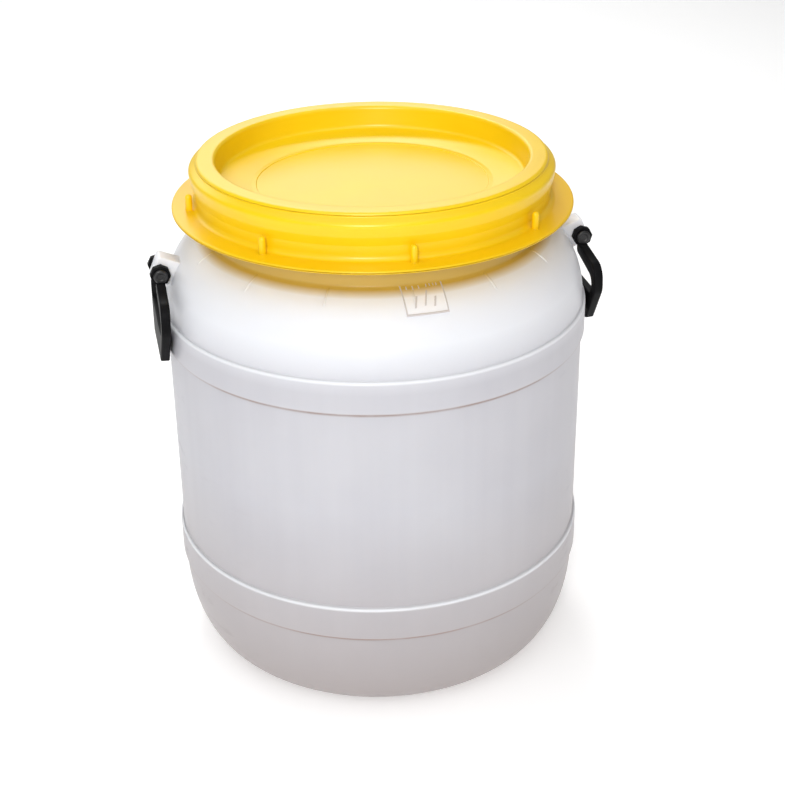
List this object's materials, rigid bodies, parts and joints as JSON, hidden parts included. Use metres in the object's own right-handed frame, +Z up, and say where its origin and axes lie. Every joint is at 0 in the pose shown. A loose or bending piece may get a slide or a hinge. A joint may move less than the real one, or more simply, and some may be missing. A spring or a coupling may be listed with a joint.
{
  "type": "open head drum",
  "caption": "Blow-moulded open head plastic drum with raised bands, rounded shoulder, threaded neck, screw lid with sunk centre and grip pins, and two swing handles.",
  "frame": {"origin": "on the floor, at the centre of the foot ring, on the drum's own axis", "axes": "+Z up along the drum's axis; the two handle lugs stand on the X axis, so the hinge pins lie along Y"},
  "size_m": [0.4098, 0.3894, 0.4803],
  "materials": {
    "drum_shell": "satin natural white polyethylene, blow moulded",
    "lid": "semi-gloss yellow polyethylene, injection moulded",
    "gasket": "matt light grey foam rubber",
    "handle": "fine grained black polypropylene",
    "pin": "satin black nylon"
  },
  "bodies": {
    "drum": {"drum_body": "drum_shell", "pivot_pin_left": "pin", "pivot_pin_right": "pin", "pin_cap_left": "pin", "pin_cap_right": "pin"},
    "gasket": {"lid_gasket": "gasket"},
    "lid": {"screw_lid": "lid"},
    "left_handle": {"handle_left": "handle"},
    "right_handle": {"handle_right": "handle"}
  },
  "joints": [
    {"name": "lid_lift", "type": "slide", "parent": "drum", "child": "gasket", "axis": [0, 0, 1], "range_m": [0, 0.0381]},
    {"name": "lid_turn", "type": "hinge", "parent": "gasket", "child": "lid", "pos_m": [0, 0, 0.4725], "axis": [0, 0, 1], "range_deg": [0, 760]},
    {"name": "left_handle_swing", "type": "hinge", "parent": "drum", "child": "left_handle", "pos_m": [-0.1956, 0, 0.387], "axis": [0, 1, 0], "range_deg": [0, 185]},
    {"name": "right_handle_swing", "type": "hinge", "parent": "drum", "child": "right_handle", "pos_m": [0.1956, 0, 0.387], "axis": [0, -1, 0], "range_deg": [0, 185]}
  ],
  "couplings": [
    {"joint": "lid_lift", "follows": "lid_turn", "m_per_rad": 0.0028648}
  ]
}
